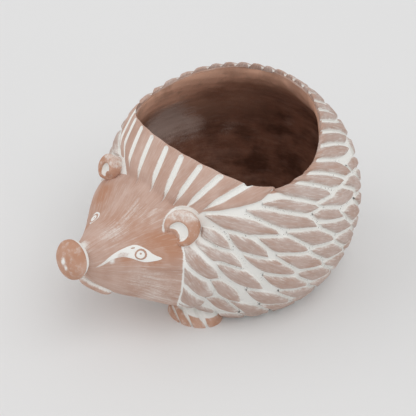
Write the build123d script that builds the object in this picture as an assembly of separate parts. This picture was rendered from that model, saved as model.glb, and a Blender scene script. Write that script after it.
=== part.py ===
import os
from math import cos, hypot, pi, radians, sin, sqrt

from build123d import *

# Pot: nearly a ball of clay, cut flat where it stands
body_radius = 68.8
foot_cut = 22.8
wall_thickness = 6.5
floor_thickness = 8.0
drain_hole_diameter = 12.0

# Mouth: a rounded opening, seen from above, wider than it is long
mouth_half_width = 53.0
mouth_half_length = 43.5
mouth_set_forward = 1.5

# Quills: leaves of clay laid over the wall
quill_height = 2.2
quill_span_angle = 25.2
quill_gap = 1.3
quill_ground_clearance = 2.5
quill_mouth_setback = 0.6
quill_pole_rise_angle = 31.0
least_quill_volume = 25.0

# Long quills over the forehead
forehead_gap = 2.0

# Head: a hollow cone of clay in front of the pot
head_root_sink = 24.8
head_length = 62.5
head_half_width = 44.0
head_axis_rise = 8.5
head_top_rise = 25.5
head_bottom_drop = 43.5
head_wall = 6.0
snout_round = 2.0
vent_hole_diameter = 4.0

# Nose
nose_radius = 10.7
nose_depth = 7.1
nose_root_depth = 3.0
nose_rise = 7.5
nose_set_out = 2.4
nose_pitch_angle = 17.0

# Lower lip
lip_roll_radius = 2.4
lip_half_width = 8.2
lip_half_depth = 18.0
lip_drop = 22.6
lip_set_back = 16.3
lip_half_angle = 75.0
lip_tilt_angle = 43.0

# Ears
ear_radius = 9.2
ear_thickness = 5.0
ear_root_depth = 8.0
ear_root_radius = 6.5
ear_edge_round = 2.4
ear_cup_radius = 6.6
ear_cup_offset = 2.6
ear_cup_rise = 2.6
ear_stand_out = 5.5
ear_side_angle = 24.5
left_ear_rise_angle = 21.4
right_ear_rise_angle = 24.2
ear_facing_side_angle = 35.0
ear_facing_rise_angle = 29.0

# Front paws
paw_half_width = 15.5
paw_half_depth = 8.0
paw_height = 12.5
paw_stand_out = 2.6
paw_side_angle = 24.5
toe_half_depth = 7.5
toe_height = 9.0
toe_overlap = 0.8
toe_set_out = 3.4
toe_set_back = 2.6

# One run past a surface serves every cut
overrun = 20.0

# Mouth outline from front to back: half width and length as shares
mouth_shares = (
    (0.0, -1.0),
    (0.28, -0.966),
    (0.51, -0.885),
    (0.79, -0.7),
    (0.955, -0.45),
    (1.0, -0.2),
    (0.985, 0.1),
    (0.84, 0.437),
    (0.55, 0.78),
    (0.28, 0.945),
    (0.0, 1.0),
)

# Head sections: along the head, half width, rise above and drop below its axis
head_shares = (
    (0.0, 1.03, 1.0, 1.03),
    (0.304, 0.93, 0.98, 0.975),
    (0.576, 0.61, 0.6, 0.7),
    (0.832, 0.3, 0.56, 0.415),
    (1.0, 0.15, 0.53, 0.08),
)
head_room_share = 0.84
brow_round_share = 0.436
jaw_round_share = 0.711

# Nose outline: along its axis and outwards
nose_shares = (
    (0.0, 0.97),
    (0.15, 1.0),
    (0.5, 0.93),
    (0.8, 0.68),
    (0.95, 0.33),
    (1.0, 0.0),
)

# Rows of quills: angle from the pole, quills in the ring, first turn kept
quill_rows = (
    (37.0, 30, 98.0),
    (51.0, 30, 80.0),
    (65.0, 30, 62.0),
    (79.0, 30, 30.0),
    (93.0, 30, 0.0),
    (107.0, 30, 0.0),
    (121.0, 30, 0.0),
    (135.0, 30, 0.0),
    (161.0, 15, 0.0),
)
first_row_last_turn = 110.0
leaf_shoulder_share = 0.73

# Grooves between the forehead quills, and where each quill starts below
forehead_groove_angles = (0.0, 12.5, 24.5, 35.0, 43.5, 50.0)
forehead_start_angles = (27.0, 28.0, 31.5, 36.0, 43.0)
forehead_end_angles = (53.0, 55.0, 59.0, 64.0, 73.0)
forehead_belly_share = 0.4
head_cover_share = 1.08

body_centre_height = body_radius - foot_cut
centre = Vector(0, 0, body_centre_height)
head_root_distance = body_radius - head_root_sink
head_axis_height = body_centre_height + head_axis_rise
quill_radius = body_radius + quill_height
room_radius = body_radius - wall_thickness
base_radius = sqrt(body_radius**2 - body_centre_height**2)
quill_length = 2 * quill_radius * sin(radians(quill_span_angle / 2))


def ball(radius):
    return Pos(0, 0, body_centre_height) * Sphere(radius)


def toward(side_angle, rise_angle):
    side = radians(side_angle)
    rise = radians(rise_angle)
    return Vector(sin(side) * cos(rise), -cos(side) * cos(rise), sin(rise))


def mirror_side(shape):
    return mirror(shape, about=Plane.YZ)


# Ground below the standing face, for cutting
ground_half = body_radius + overrun
ground_depth = body_radius
ground = Pos(0, 0, -ground_depth) * Box(
    2 * ground_half, 4 * ground_half, ground_depth, align=(Align.CENTER, Align.CENTER, Align.MIN)
)


def mouth_tool(setback):
    half_width = mouth_half_width + setback
    half_length = mouth_half_length + setback
    right = [Vector(s * half_width, t * half_length - mouth_set_forward) for s, t in mouth_shares]
    left = [Vector(-p.X, p.Y) for p in reversed(right[1:-1])]
    edge = Spline(*right, *left, periodic=True)
    tool = extrude(make_face(edge), amount=body_radius + overrun)
    return Pos(0, 0, body_centre_height) * tool


mouth = mouth_tool(0)
quill_mouth = mouth_tool(quill_mouth_setback)


# Head as one smooth form through its sections, grown by a margin
def head_section(shares, grow):
    along, wide, rise, drop = shares
    distance = head_root_distance + along * head_length
    half = head_half_width * wide + grow
    top = head_top_rise * rise + grow
    bottom = head_bottom_drop * drop + grow
    edges = []
    for east, north in ((half, top), (-half, top), (-half, -bottom), (half, -bottom)):
        round_share = brow_round_share if north > 0 else jaw_round_share
        bend_east = east * round_share
        bend_north = north * round_share
        edges.append(Bezier((east, 0), (east, bend_north), (bend_east, north), (0, north)))
    plane = Plane(origin=(0, -distance, head_axis_height), x_dir=(1, 0, 0), z_dir=(0, -1, 0))
    return plane * make_face(edges)


def head_form(grow, last_share):
    kept = [s for s in head_shares if s[0] <= last_share]
    form = loft([head_section(s, grow) for s in kept])
    return fillet(form.edges().group_by(Axis.Y)[0], snout_round)


body_ball = ball(body_radius)
room_ball = ball(room_radius)
head_full = head_form(0, 1)
head_coat = head_form(quill_height, 1)
head_room = head_form(-head_wall, head_room_share)

# Floor with its drain hole
floor_block = Cylinder(body_radius, floor_thickness, align=(Align.CENTER, Align.CENTER, Align.MIN))
drain = Cylinder(drain_hole_diameter / 2, floor_thickness * 2)
floor_slab = (room_ball & floor_block) - drain

# Wall with the mouth and a small vent from the hollow head
vent_tool = Pos(0, -body_radius, head_axis_height) * Rot(90, 0, 0) * Cylinder(
    vent_hole_diameter / 2, 2 * wall_thickness + overrun
)
pot_wall = body_ball - room_ball - ground - mouth - vent_tool

# Head shell
head = head_full - head_room - body_ball - ground

# Nose, turned about its own axis
nose_outline = [Vector(r * nose_radius, a * nose_depth) for a, r in nose_shares]
nose_start = Vector(nose_outline[0].X, -nose_root_depth)
nose_face = make_face(
    [
        Line((0, -nose_root_depth), nose_start),
        Line(nose_start, nose_outline[0]),
        Spline(*nose_outline),
        Line(nose_outline[-1], (0, -nose_root_depth)),
    ]
)
nose_turned = revolve(nose_face, axis=Axis.Y)
snout_distance = head_root_distance + head_length
nose_plane = Plane(
    origin=(0, -snout_distance - nose_set_out, head_axis_height + nose_rise),
    x_dir=(1, 0, 0),
    z_dir=toward(0, nose_pitch_angle),
)
nose_button = nose_plane * Rot(90, 0, 0) * nose_turned - head_full

# Lower lip, a roll of clay round the snout
lip_tilt = radians(lip_tilt_angle)
lip_plane = Plane(
    origin=(0, -snout_distance + lip_set_back, head_axis_height - lip_drop),
    x_dir=(1, 0, 0),
    z_dir=(0, sin(lip_tilt), cos(lip_tilt)),
)
lip_path = lip_plane * EllipticalCenterArc(
    (0, 0), lip_half_width, lip_half_depth, start_angle=-90 - lip_half_angle, arc_size=2 * lip_half_angle
)
lip_end = lip_path @ 0
lip_profile = Plane(origin=lip_end, z_dir=lip_path % 0) * Circle(lip_roll_radius)
lip_roll = sweep(lip_profile, path=lip_path)
lip_ends = [Pos(*(lip_path @ t)) * Sphere(lip_roll_radius) for t in (0, 1)]
lower_lip = lip_roll + lip_ends - head_full - nose_button


# Ears: cupped discs that face forward and out
def make_ear(rise_angle):
    facing = toward(ear_facing_side_angle, ear_facing_rise_angle)
    place = centre + toward(ear_side_angle, rise_angle) * (body_radius + ear_stand_out)
    side = radians(ear_facing_side_angle)
    plane = Plane(origin=place, x_dir=(cos(side), sin(side), 0), z_dir=facing)
    depth = ear_thickness / 2 + ear_root_depth
    disc = Cone(ear_root_radius, ear_radius, depth, align=(Align.CENTER, Align.CENTER, Align.MAX))
    disc = fillet(disc.edges().group_by(Axis.Z)[-1], ear_edge_round)
    cup = Pos(-ear_cup_offset, -ear_cup_offset, ear_cup_rise) * Sphere(ear_cup_radius)
    return plane * (Pos(0, 0, ear_thickness / 2) * disc - Pos(0, 0, ear_thickness / 2) * cup)


left_ear_full = make_ear(left_ear_rise_angle)
right_ear_full = mirror_side(make_ear(right_ear_rise_angle))
left_ear = left_ear_full - body_ball - head_full
right_ear = right_ear_full - body_ball - head_full


# Front paws: a low lump with four toes side by side
def make_paw():
    paw = scale(Sphere(1), by=(paw_half_width, paw_half_depth, paw_height))
    toe_half_width = paw_half_width / 4 + toe_overlap
    for step in (-3, -1, 1, 3):
        across = step * (paw_half_width - toe_half_width) / 3
        back = toe_set_back * (step / 3) ** 2
        toe = scale(Sphere(1), by=(toe_half_width, toe_half_depth, toe_height))
        paw += Pos(across, back - toe_set_out, 0) * toe
    side = radians(paw_side_angle)
    reach = base_radius + paw_stand_out
    return Pos(reach * sin(side), -reach * cos(side), 0) * Rot(0, 0, paw_side_angle) * paw


left_paw_full = make_paw() - ground
left_front_paw = left_paw_full - body_ball - head_full
right_front_paw = mirror_side(left_front_paw)

# Coat: what the quills are cut from, over the pot and the root of the head
pole = toward(0, quill_pole_rise_angle)
front = toward(0, 0)


def polar(axis_vector, angle):
    across = Vector(0, axis_vector.Z, -axis_vector.Y)
    turn = radians(angle)
    outward = axis_vector * cos(turn) + across * sin(turn)
    along = across * cos(turn) - axis_vector * sin(turn)
    return outward, along


def leaf_plane(outward, along):
    return Plane(origin=centre + outward * (body_radius - overrun / 2), x_dir=along, z_dir=outward)


def leaf_tool(outward, along, length, width):
    tip = Vector(length / 2, 0)
    tail = Vector(-length / 2, 0)
    side = Vector(0, width / 2)
    face = make_face([ThreePointArc(tail, side, tip), ThreePointArc(tip, -side, tail)])
    return extrude(leaf_plane(outward, along) * face, amount=overrun)


def forehead_tool(outward, along, length, width):
    tail = Vector(-length / 2, 0)
    side = Vector(0, width * forehead_belly_share)
    corner = Vector(length / 2, width / 2)
    other = Vector(length / 2, -width / 2)
    edges = [ThreePointArc(tail, side, corner), Line(corner, other), ThreePointArc(other, -side, tail)]
    return extrude(leaf_plane(outward, along) * make_face(edges), amount=overrun)


quill_ground = Pos(0, 0, quill_ground_clearance) * ground
cutters = [quill_ground, quill_mouth, left_ear_full, right_ear_full]
cutters += [left_front_paw, right_front_paw]
cutter_boxes = [c.bounding_box() for c in cutters]


def boxes_meet(one, two):
    low = max(one.min.X - two.max.X, one.min.Y - two.max.Y, one.min.Z - two.max.Z)
    high = max(two.min.X - one.max.X, two.min.Y - one.max.Y, two.min.Z - one.max.Z)
    return max(low, high) < 0


def trimmed(leaf):
    for cutter, cutter_box in zip(cutters, cutter_boxes):
        if leaf.solids() and boxes_meet(leaf.bounding_box(), cutter_box):
            leaf = Compound(children=(leaf - cutter).solids())
    return [s for s in leaf.solids() if s.volume > least_quill_volume]


def on_coat(tool):
    over_pot = tool & ball(quill_radius) - body_ball - head_full
    over_head = tool & head_coat - head_full - body_ball
    pieces = over_pot.solids() + over_head.solids()
    return pieces[0].fuse(*pieces[1:]) if len(pieces) > 1 else pieces[0]


# True where a spot on the pot lies under the root of the head
def under_head(spot):
    along = (-spot.Y - head_root_distance) / head_length
    for one, two in zip(head_shares, head_shares[1:]):
        if one[0] <= along < two[0]:
            part = (along - one[0]) / (two[0] - one[0])
            wide, rise, drop = [m + (n - m) * part for m, n in zip(one[1:], two[1:])]
            high = spot.Z - head_axis_height
            tall = head_top_rise * rise if high > 0 else head_bottom_drop * drop
            return hypot(spot.X / (head_half_width * wide), high / tall) < head_cover_share
    return False


def make_row(row):
    angle, count, first = quill_rows[row]
    last = first_row_last_turn if row == 0 else 180
    outward, along = polar(pole, angle)
    room = 2 * pi / count * quill_radius * sin(radians(angle)) / 2
    width = (room - quill_gap) / leaf_shoulder_share
    tool = leaf_tool(outward, along, quill_length, width)
    plain = tool & ball(quill_radius) - body_ball
    pitch = 360 / count
    offset = pitch / 2 if row % 2 == 0 else 0
    reach = quill_length / 2 / quill_radius
    ends = [outward * cos(t * reach) + along * sin(t * reach) for t in (-1, -0.5, 0, 0.5, 1)]
    leaves = []
    for step in range(count // 2 + 1):
        turn = offset + pitch * step
        if not first <= turn <= last:
            continue
        spots = [centre + e.rotate(Axis(origin=(0, 0, 0), direction=pole), turn) * quill_radius for e in ends]
        covered = any(under_head(s) for s in spots)
        leaf = on_coat(tool.rotate(pole_axis, turn)) if covered else plain.rotate(pole_axis, turn)
        kept = trimmed(leaf)
        leaves += kept
        if 0 < turn < 180:
            leaves += [mirror_side(k) for k in kept]
    return leaves


def make_forehead():
    leaves = []
    for start, end, low, high in zip(
        forehead_start_angles, forehead_end_angles, forehead_groove_angles, forehead_groove_angles[1:]
    ):
        outward, along = polar(front, (start + end) / 2)
        length = radians(end - start) * quill_radius
        width = radians(high - low) * quill_radius * sin(radians(end)) - forehead_gap
        tool = forehead_tool(outward, along, length, width)
        leaf = on_coat(tool.rotate(front_axis, (low + high) / 2))
        kept = trimmed(leaf)
        leaves += kept + [mirror_side(k) for k in kept]
    return leaves


pole_axis = Axis(origin=centre, direction=pole)
front_axis = Axis(origin=centre, direction=front)
forehead = make_forehead()
rows = [make_row(r) for r in range(len(quill_rows))]

os.makedirs("parts", exist_ok=True)
export_step(pot_wall, "parts/pot_wall.step")
export_step(floor_slab, "parts/floor_slab.step")
export_step(head, "parts/head.step")
export_step(nose_button, "parts/nose_button.step")
export_step(lower_lip, "parts/lower_lip.step")
export_step(left_ear, "parts/left_ear.step")
export_step(right_ear, "parts/right_ear.step")
export_step(left_front_paw, "parts/left_front_paw.step")
export_step(right_front_paw, "parts/right_front_paw.step")
export_step(Compound(children=forehead), "parts/forehead_quills.step")
print("forehead quills", len(forehead))
for number, leaves in enumerate(rows, start=1):
    export_step(Compound(children=leaves), f"parts/quill_row_{number}.step")
    print("row", number, "quills", len(leaves))
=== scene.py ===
import math

import bpy
import numpy as np
from mathutils import Matrix, Vector


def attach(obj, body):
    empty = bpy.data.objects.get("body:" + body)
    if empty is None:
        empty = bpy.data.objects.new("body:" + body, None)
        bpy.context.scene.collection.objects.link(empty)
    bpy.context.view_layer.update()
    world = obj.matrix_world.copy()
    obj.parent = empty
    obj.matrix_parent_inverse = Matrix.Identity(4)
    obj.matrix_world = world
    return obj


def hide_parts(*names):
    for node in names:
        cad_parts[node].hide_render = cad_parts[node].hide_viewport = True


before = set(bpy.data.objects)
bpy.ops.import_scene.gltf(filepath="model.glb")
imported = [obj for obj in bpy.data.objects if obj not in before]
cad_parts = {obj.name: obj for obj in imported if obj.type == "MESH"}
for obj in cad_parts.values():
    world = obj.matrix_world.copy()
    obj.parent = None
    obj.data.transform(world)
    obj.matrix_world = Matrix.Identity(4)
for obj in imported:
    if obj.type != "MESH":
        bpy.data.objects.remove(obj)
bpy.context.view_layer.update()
rng = np.random.default_rng(11)

# Sizes in millimetres, as the solids have them
MM = 0.001
CENTRE = np.array([0.0, 0.0, 46.0])
WALL_R = 68.8
QUILL_H = 2.2
QUILL_R = WALL_R + QUILL_H
ROOM_R = 62.3
FLOOR_TOP = 8.0
DRAIN_R = 6.0
BASE_R = math.sqrt(WALL_R**2 - CENTRE[2] ** 2)
QUILL_FOOT = 2.5

HEAD_ROOT, HEAD_LENGTH, HEAD_AXIS = 44.0, 62.5, 54.5
HEAD_HALF, HEAD_RISE, HEAD_DROP = 44.0, 25.5, 43.5
HEAD_END = HEAD_ROOT + HEAD_LENGTH
BROW_POWER, JAW_POWER = 1.69, 2.61
HEAD_BLEND = 2.0

# Nose, lip, ears, paws and mouth, with angles in degrees
NOSE_DEPTH, NOSE_R, NOSE_PITCH = 6.9, 10.2, 17.0
NOSE_AT = np.array([0, -HEAD_END - 2.4, HEAD_AXIS + 7.5])
LIP_R, LIP_HALF_WIDTH, LIP_HALF_DEPTH = 2.4, 8.2, 18.0
LIP_BACK, LIP_DROP, LIP_TILT, LIP_HALF_ANGLE = 16.3, 22.6, 43, 75
EAR_SIZE, EAR_TOP, EAR_ROUND, EAR_ROOT = 9.2, 2.5, 2.4, 9.5
PAW_SIZES = (15.5, 11.0, 10.0)
PAW_SIDE, PAW_OUT = 24.5, 2.6
MOUTH_HALF_WIDTH, MOUTH_HALF_LENGTH, MOUTH_FORWARD = 53.0, 43.5, 1.5


# Small helpers

def unit(v):
    v = np.asarray(v, float)
    return v / np.linalg.norm(v, axis=-1, keepdims=True)


def ease(low, high, x):
    t = np.clip((x - low) / (high - low), 0, 1)
    return t * t * (3 - 2 * t)


def dome(t):
    """Quarter circle rise from 0 to 1."""
    return np.sqrt(np.clip(1 - (1 - np.clip(t, 0, 1)) ** 2, 0, 1))


def soft_max(a, b, reach):
    near = np.clip(reach - np.abs(a - b), 0, None)
    return np.maximum(a, b) + near * near / (4 * reach)


def toward(side, rise):
    a, b = math.radians(side), math.radians(rise)
    return np.array([math.sin(a) * math.cos(b), -math.cos(a) * math.cos(b), math.sin(b)])


class Waves:
    """Smooth seeded unevenness of a given wavelength, about -1 to 1."""

    def __init__(self, wavelength, count=9):
        self.k = unit(rng.normal(size=(count, 3))) * 2 * math.pi / wavelength
        self.k *= rng.uniform(0.6, 1.5, (count, 1))
        self.phase = rng.uniform(0, 2 * math.pi, count)

    def __call__(self, points):
        return np.sin(points @ self.k.T + self.phase).sum(-1) / math.sqrt(len(self.phase))


def spline(xs, ys):
    """Natural cubic through the given points."""
    xs, ys = np.asarray(xs, float), np.asarray(ys, float)
    n, h = len(xs), np.diff(xs)
    m, r = np.eye(n), np.zeros_like(ys)
    for i in range(1, n - 1):
        m[i, i - 1 : i + 2] = h[i - 1], 2 * (h[i - 1] + h[i]), h[i]
        r[i] = 6 * ((ys[i + 1] - ys[i]) / h[i] - (ys[i] - ys[i - 1]) / h[i - 1])
    bend = np.linalg.solve(m, r)

    def at(x):
        i = np.clip(np.searchsorted(xs, x) - 1, 0, n - 2)
        step = h[i]
        a = ((xs[i + 1] - x) / step)[..., None]
        b = 1 - a
        size = (step * step / 6)[..., None]
        return a * ys[i] + b * ys[i + 1] + ((a**3 - a) * bend[i] + (b**3 - b) * bend[i + 1]) * size

    return at


def grid_faces(rows, columns, wrap=False):
    i = np.arange(rows - 1)[:, None]
    j = np.arange(columns if wrap else columns - 1)[None, :]
    k = (j + 1) % columns
    here, below = i * columns, (i + 1) * columns
    return np.stack([here + j, here + k, below + k, below + j], -1).reshape(-1, 4)


def ring_faces(rows, columns):
    """Faces of a grid that closes both ways."""
    index = np.arange(rows * columns).reshape(rows, columns)
    a, b = index, np.roll(index, -1, 0)
    return np.stack([a, np.roll(a, -1, 1), np.roll(b, -1, 1), b], -1)


# Mouth outline: how far it lies from the upright axis of the pot at each turn
mouth_shares = (
    (0, -1), (0.28, -0.966), (0.51, -0.885), (0.79, -0.7), (0.955, -0.45), (1, -0.2),
    (0.985, 0.1), (0.84, 0.437), (0.55, 0.78), (0.28, 0.945), (0, 1),
)
left_half = np.array(mouth_shares) * (MOUTH_HALF_WIDTH, MOUTH_HALF_LENGTH) - (0, MOUTH_FORWARD)
outline = np.vstack([left_half, left_half[-2:0:-1] * (-1, 1)])
thrice = np.vstack([outline] * 3)
travel = np.concatenate([[0], np.cumsum(np.linalg.norm(np.diff(thrice, axis=0), axis=1))])
dense = spline(travel, thrice)(np.linspace(travel[len(outline)], travel[2 * len(outline)], 2000))
mouth_turn = np.arctan2(dense[:, 1], dense[:, 0])
mouth_reach = np.hypot(dense[:, 0], dense[:, 1])
order = np.argsort(mouth_turn)
mouth_turn, mouth_reach = mouth_turn[order], mouth_reach[order]


def mouth_at(turn):
    return np.interp(turn, mouth_turn, mouth_reach, period=2 * math.pi)


def mouth_gap(points):
    """How far outside the mouth a point stands, seen from above."""
    turn = np.arctan2(points[..., 1], points[..., 0])
    return np.hypot(points[..., 0], points[..., 1]) - mouth_at(turn)


# Head form: how far the head reaches from the middle of the pot along a direction
head_shares = np.array((
    (0, 1.03, 1, 1.03), (0.304, 0.93, 0.98, 0.975), (0.576, 0.61, 0.6, 0.7),
    (0.832, 0.3, 0.56, 0.415), (1, 0.15, 0.53, 0.08),
))
head_profile = spline(head_shares[:, 0], head_shares[:, 1:])


def head_depth(points):
    along = np.clip((-points[..., 1] - HEAD_ROOT) / HEAD_LENGTH, -0.15, 1.05)
    sizes = head_profile(along)
    half = HEAD_HALF * sizes[..., 0]
    up = points[..., 2] - HEAD_AXIS
    tall = np.where(up > 0, HEAD_RISE * sizes[..., 1], HEAD_DROP * sizes[..., 2])
    power = np.where(up > 0, BROW_POWER, JAW_POWER)
    ratio = np.abs(points[..., 0] / half) ** power + np.abs(up / tall) ** power
    around = (ratio ** (1 / power) - 1) * np.minimum(half, tall)
    return soft_max(around, -points[..., 1] - HEAD_END, 6.0)


FRONT = np.array([0, -1.0, 0])


def off_front(side, angle):
    """Direction at an angle from straight ahead, toward a side."""
    return FRONT * np.cos(angle)[..., None] + side * np.sin(angle)[..., None]


def head_reach(directions):
    reach = np.zeros(directions.shape[:-1])
    steps = np.arange(54.0, 124.0, 2.0)
    last = head_depth(CENTRE + directions * steps[0])
    for one, two in zip(steps, steps[1:]):
        depth = head_depth(CENTRE + directions * two)
        leaving = (last < 0) & (depth >= 0)
        reach = np.where(leaving, one + (two - one) * last / np.where(leaving, last - depth, 1), reach)
        last = depth
    return np.where(-reach * directions[..., 1] > HEAD_ROOT - 8, reach, 0)


def with_wall(reach):
    """Reach of the head where it flows into the wall."""
    return soft_max(reach, np.full_like(reach, WALL_R), HEAD_BLEND)


def skin(directions):
    """Distance of the bare skin of face and pot along a direction."""
    return with_wall(head_reach(directions))


def on_skin(side, rise):
    way = toward(side, rise)
    return CENTRE + way * skin(way[None])[0]


# Pieces

def piece(name, node, slot, verts, faces, material, **values):
    mesh = bpy.data.meshes.new(name)
    mesh.from_pydata((verts * MM).tolist(), [], [list(f) for f in faces])
    for key, value in values.items():
        kind = "FLOAT_VECTOR" if value.ndim == 2 else "FLOAT"
        layer = mesh.attributes.new(key, kind, "POINT")
        field = "vector" if value.ndim == 2 else "value"
        layer.data.foreach_set(field, value.astype(np.float32).ravel())
    mesh.validate()
    mesh.shade_smooth()
    mesh.materials.append(material)
    thing = bpy.data.objects.new(name, mesh)
    bpy.context.scene.collection.objects.link(thing)
    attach(thing, "root")
    if node:
        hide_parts(node)
    return thing


# Clay materials

def linear(r, g, b):
    def one(c):
        c /= 255
        return c / 12.92 if c <= 0.04045 else ((c + 0.055) / 1.055) ** 2.4
    return (one(r), one(g), one(b), 1.0)


WHITE = linear(239, 238, 234)
ORANGE = linear(184, 137, 112)
PIT = linear(70, 60, 56)


class Net:
    def __init__(self, material):
        material.use_nodes = True
        self.tree = material.node_tree
        self.shader = self.tree.nodes["Principled BSDF"]

    def add(self, kind, **settings):
        node = self.tree.nodes.new(kind)
        for key, value in settings.items():
            setattr(node, key, value)
        return node

    def join(self, source, target):
        self.tree.links.new(source, target)

    def put(self, value, socket):
        if isinstance(value, bpy.types.NodeSocket):
            self.join(value, socket)
        else:
            socket.default_value = value

    def attribute(self, name):
        return self.add("ShaderNodeAttribute", attribute_name=name)

    def noise(self, vector, scale, detail=4.0, rough=0.55):
        node = self.add("ShaderNodeTexNoise")
        node.inputs["Scale"].default_value = scale
        node.inputs["Detail"].default_value = detail
        node.inputs["Roughness"].default_value = rough
        self.join(vector, node.inputs["Vector"])
        return node.outputs["Fac"]

    def specks(self, vector, scale):
        node = self.add("ShaderNodeTexVoronoi")
        node.inputs["Scale"].default_value = scale
        self.join(vector, node.inputs["Vector"])
        return node.outputs["Distance"]

    def span(self, value, low, high, to_low=0.0, to_high=1.0):
        node = self.add("ShaderNodeMapRange", interpolation_type="SMOOTHSTEP")
        self.put(value, node.inputs["Value"])
        limits = {"From Min": low, "From Max": high, "To Min": to_low, "To Max": to_high}
        for key, number in limits.items():
            node.inputs[key].default_value = number
        return node.outputs["Result"]

    def math(self, kind, a, b):
        node = self.add("ShaderNodeMath", operation=kind)
        self.put(a, node.inputs[0])
        self.put(b, node.inputs[1])
        return node.outputs[0]

    def off(self, value, amount):
        """Noise about zero, times an amount."""
        return self.math("MULTIPLY", self.math("SUBTRACT", value, 0.5), amount)

    def mix(self, share, a, b, kind="MIX"):
        node = self.add("ShaderNodeMix", data_type="RGBA", blend_type=kind)
        self.put(share, node.inputs["Factor"])
        self.put(a, node.inputs["A"])
        self.put(b, node.inputs["B"])
        return node.outputs["Result"]


def clay(name, light, dark, wash=WHITE, bare_and_lit=ORANGE, streak=0.5, bump=0.3, haze=0.0, dust=0.3):
    """Fired clay under a rubbed wash. slip is how much wash is left, and also paints the highlight on the
    lip and some light on the paws; rub is how bare the clay is, and inside the pot also paints the light
    near the rim.
    """
    material = bpy.data.materials.new(name)
    net = Net(material)
    place = net.add("ShaderNodeTexCoord").outputs["Object"]
    flow = net.attribute("flow").outputs["Vector"]
    slip = net.attribute("slip").outputs["Fac"]
    rub = net.attribute("rub").outputs["Fac"]
    dent = net.attribute("pit").outputs["Fac"]
    cloud = net.noise(place, 70.0)
    fine = net.noise(place, 1100.0, 3.0)
    speckle = net.noise(flow, 2.4, 4.0, 0.6)
    grain = net.noise(flow, 1.0, 5.0, 0.6)
    tint = net.math("ADD", net.math("MULTIPLY", grain, streak), net.math("MULTIPLY", cloud, 1 - streak))
    colour = net.mix(net.span(tint, 0.34, 0.66), dark, light)
    # Bare clay where rubbed; inside the pot this also paints the light near the rim.
    worn_and_lit = net.math("MULTIPLY", rub, net.span(tint, 0.66, 0.36, 0.35, 1.0))
    colour = net.mix(worn_and_lit, colour, bare_and_lit)
    colour = net.mix(net.span(speckle, 0.5, 0.28, 0.0, dust), colour, bare_and_lit)
    colour = net.mix(net.span(speckle, 0.5, 0.74, 0.0, dust), colour, wash)
    ragged = net.math("ADD", slip, net.off(fine, 0.45))
    ragged = net.math("ADD", ragged, net.off(grain, 0.5))
    ragged = net.math("ADD", ragged, net.off(speckle, 0.6))
    ragged = net.math("ADD", ragged, net.off(cloud, 0.3))
    veil = net.span(ragged, 0.12, 0.88)
    if haze:
        veil = net.math("MAXIMUM", veil, net.span(grain, 0.5, 0.78, 0.0, haze))
    colour = net.mix(veil, colour, wash)
    dots = net.span(net.specks(place, 1300.0), 0.42, 0.3)
    dots = net.math("MULTIPLY", net.math("MULTIPLY", dots, dent), net.span(cloud, 0.42, 0.56))
    colour = net.mix(dots, colour, PIT)
    net.join(colour, net.shader.inputs["Base Color"])
    net.join(net.span(fine, 0.3, 0.7, 0.78, 0.95), net.shader.inputs["Roughness"])
    net.shader.inputs["Specular IOR Level"].default_value = 0.2
    relief = net.add("ShaderNodeBump")
    relief.inputs["Strength"].default_value = bump
    relief.inputs["Distance"].default_value = 0.0004
    net.join(net.math("ADD", net.math("ADD", fine, grain), veil), relief.inputs["Height"])
    net.join(relief.outputs["Normal"], net.shader.inputs["Normal"])
    return material


washed = clay("washed_clay", linear(199, 181, 173), linear(183, 161, 151), streak=0.45)
face_look = clay("face_clay", linear(204, 176, 163), linear(188, 155, 140),
                 streak=0.3, haze=0.08, dust=0.2)
bare_look = clay("bare_clay", linear(208, 174, 157), linear(192, 150, 128), streak=0.3)
inside_look = clay("inner_clay", linear(150, 106, 86), linear(92, 60, 46), linear(206, 186, 176),
                   linear(236, 188, 162), streak=0.35, haze=0.1, dust=0.08)

uneven = Waves(34.0)
ripple = Waves(9.0)


def spots_on_skin(*spots):
    """Spots given by side angle, rise angle, size and amount, at their places on the skin."""
    return [(on_skin(side, rise), size, amount) for side, rise, size, amount in spots]


def paint(points, spots):
    """Soft spots of paint: place, reach across and amount."""
    total = np.zeros(len(points))
    for place, size, amount in spots:
        total += amount * np.exp(-(((points - place) / size) ** 2).sum(-1))
    return total


# Quill lattice
POLE_RISE = 31.0
pole = toward(0, POLE_RISE)
over = np.array([0, math.sin(math.radians(POLE_RISE)), math.cos(math.radians(POLE_RISE))])
east = np.array([1.0, 0, 0])
quill_rows = (
    (37, 30, 98), (51, 30, 80), (65, 30, 62), (79, 30, 30), (93, 30, 0),
    (107, 30, 0), (121, 30, 0), (135, 30, 0), (161, 15, 0),
)
# The left side has the key 1, the right side -1
EAR_AT = {
    1: CENTRE + toward(24.5, 21.4) * (WALL_R + 5.5),
    -1: CENTRE + toward(-28.6, 23.2) * (WALL_R + 5.2),
}
EAR_FACING = {1: toward(35.0, 29.0), -1: toward(-14.0, 29.0)}
EAR_R = {1: EAR_SIZE, -1: 7.0}
PAW_AT = {s: toward(PAW_SIDE * s, 0) * (BASE_R + PAW_OUT) for s in (1, -1)}


def ear_axes(s):
    facing = EAR_FACING[s]
    x_axis = unit(np.cross((0, 0, 1.0), facing)) * s
    y_axis = np.cross(facing, x_axis)
    return x_axis, y_axis * np.sign(y_axis[2]), facing


def ear_place(points, s):
    """Place of points in an ear's own plane, and how far before it they lie."""
    x_axis, y_axis, facing = ear_axes(s)
    away = points - EAR_AT[s]
    return away @ x_axis, away @ y_axis, away @ facing


def ear_line(points):
    """White line drawn round the upper side of the left ear."""
    x, y, deep = ear_place(points, 1)
    spin = np.degrees(np.arctan2(y, x)) % 360
    part = ease(30, 60, spin) * (1 - ease(185, 215, spin))
    return (1 - ease(0.3, 1.1, np.abs(np.hypot(x, y) - EAR_R[1] - 0.5))) * part * (np.abs(deep) < 14)


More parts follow.
